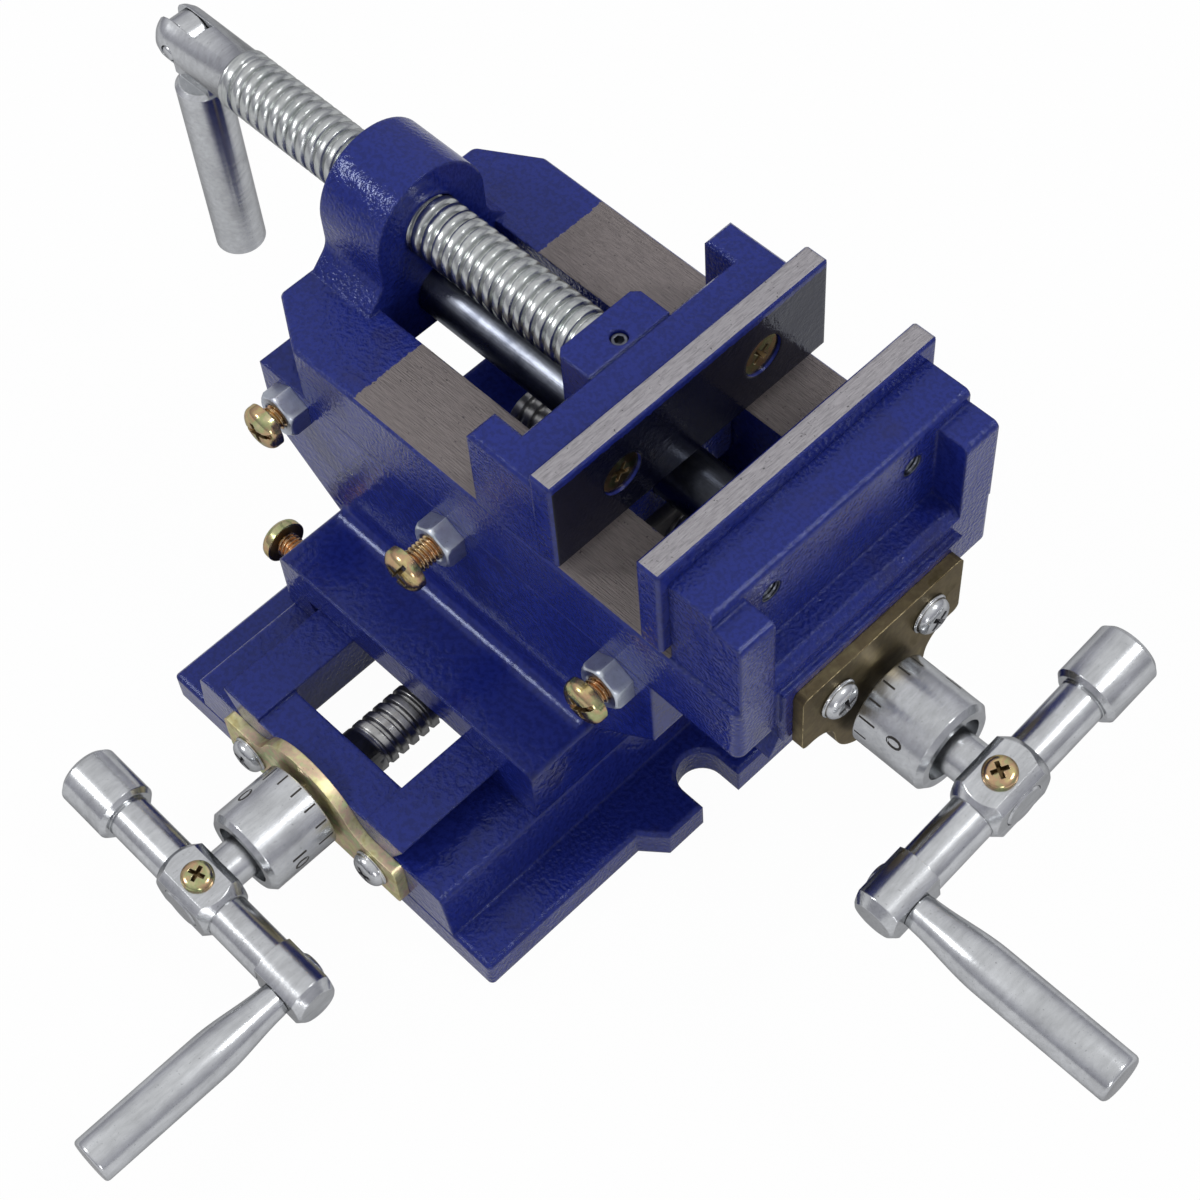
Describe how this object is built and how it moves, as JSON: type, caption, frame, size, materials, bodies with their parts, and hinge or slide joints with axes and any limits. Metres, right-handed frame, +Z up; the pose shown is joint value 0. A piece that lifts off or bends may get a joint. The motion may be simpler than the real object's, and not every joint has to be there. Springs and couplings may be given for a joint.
{
  "type": "cross slide vise",
  "caption": "Cross slide machine vise: dovetail base and cross slides driven by dialled hand cranks carry a vise with a screw-driven jaw.",
  "frame": {"origin": "middle of the base's underside, midway between the two slotted lugs", "axes": "+X along the jaw travel from the clamp screw to the crank of the long slide, +Y away from the crank of the base slide, +Z up"},
  "size_m": [0.2948, 0.2225, 0.121],
  "materials": {
    "blue_enamel": "gloss enamel over cast iron",
    "jaw_plate_paint": "gloss enamel, ground top edge",
    "yellow_zinc": "yellow passivated zinc",
    "clear_zinc": "bright zinc plate",
    "dark_steel": "oiled steel",
    "bright_steel": "turned steel",
    "nut_iron": "machined cast iron"
  },
  "bodies": {
    "base": {"base_casting": "blue_enamel", "y_bearing_plate": "yellow_zinc", "y_plate_screws": "clear_zinc"},
    "y_screw": {"y_lead_screw": "dark_steel", "y_dial": "clear_zinc", "y_crank_arm": "clear_zinc", "y_crank_screw": "yellow_zinc"},
    "y_grip": {"y_crank_handle": "clear_zinc"},
    "saddle": {"saddle_casting": "blue_enamel", "y_nut": "nut_iron", "x_nut": "nut_iron", "nut_screws": "dark_steel", "lower_gib": "bright_steel", "lower_gib_screws": "yellow_zinc", "lower_gib_nuts": "clear_zinc", "upper_gib": "bright_steel", "upper_gib_screws": "yellow_zinc", "upper_gib_nuts": "clear_zinc"},
    "body": {"vise_body": "blue_enamel", "guide_rod": "dark_steel", "fixed_jaw_plate": "jaw_plate_paint", "fixed_jaw_screws": "yellow_zinc", "x_bearing_plate": "yellow_zinc", "x_plate_screws": "clear_zinc"},
    "x_screw": {"x_lead_screw": "dark_steel", "x_dial": "clear_zinc", "x_crank_arm": "clear_zinc", "x_crank_screw": "yellow_zinc"},
    "x_grip": {"x_crank_handle": "clear_zinc"},
    "jaw": {"moving_jaw": "blue_enamel", "moving_jaw_plate": "jaw_plate_paint", "moving_jaw_screws": "yellow_zinc", "jaw_set_screw": "dark_steel"},
    "clamp": {"clamp_screw": "bright_steel", "clamp_pin": "bright_steel"},
    "handle": {"clamp_handle": "bright_steel"}
  },
  "joints": [
    {"name": "y_crank_turn", "type": "hinge", "parent": "base", "child": "y_screw", "pos_m": [0, -0.0647, 0.0195], "axis": [0, -1, 0], "range_deg": [-2886, 2886]},
    {"name": "saddle_slide", "type": "slide", "parent": "base", "child": "saddle", "axis": [0, 1, 0], "range_m": [-0.024, 0.024]},
    {"name": "y_grip_spin", "type": "hinge", "parent": "y_screw", "child": "y_grip", "pos_m": [0.02935, -0.0972, 0.01776], "axis": [0, -1, 0], "continuous": true},
    {"name": "body_slide", "type": "slide", "parent": "saddle", "child": "body", "axis": [1, 0, 0], "range_m": [-0.021, 0.03]},
    {"name": "x_crank_turn", "type": "hinge", "parent": "body", "child": "x_screw", "pos_m": [0.0819, 0.017, 0.0625], "axis": [1, 0, 0], "range_deg": [-2526, 3606]},
    {"name": "x_grip_spin", "type": "hinge", "parent": "x_screw", "child": "x_grip", "pos_m": [0.1173, -0.01213, 0.05856], "axis": [1, 0, 0], "continuous": true},
    {"name": "jaw_slide", "type": "slide", "parent": "body", "child": "jaw", "axis": [1, 0, 0], "range_m": [-0.048, 0.02]},
    {"name": "clamp_turn", "type": "hinge", "parent": "jaw", "child": "clamp", "pos_m": [0.0097, 0.017, 0.1045], "axis": [1, 0, 0], "range_deg": [-5766, 2406]},
    {"name": "handle_swing", "type": "hinge", "parent": "clamp", "child": "handle", "pos_m": [-0.1167, 0.017, 0.1045], "axis": [0, 1, 0], "range_deg": [-3, 183]}
  ],
  "couplings": [
    {"joint": "y_crank_turn", "follows": "saddle_slide", "rad_per_m": 2094.4},
    {"joint": "x_crank_turn", "follows": "body_slide", "rad_per_m": 2094.4},
    {"joint": "clamp_turn", "follows": "jaw_slide", "rad_per_m": 2094.4}
  ]
}
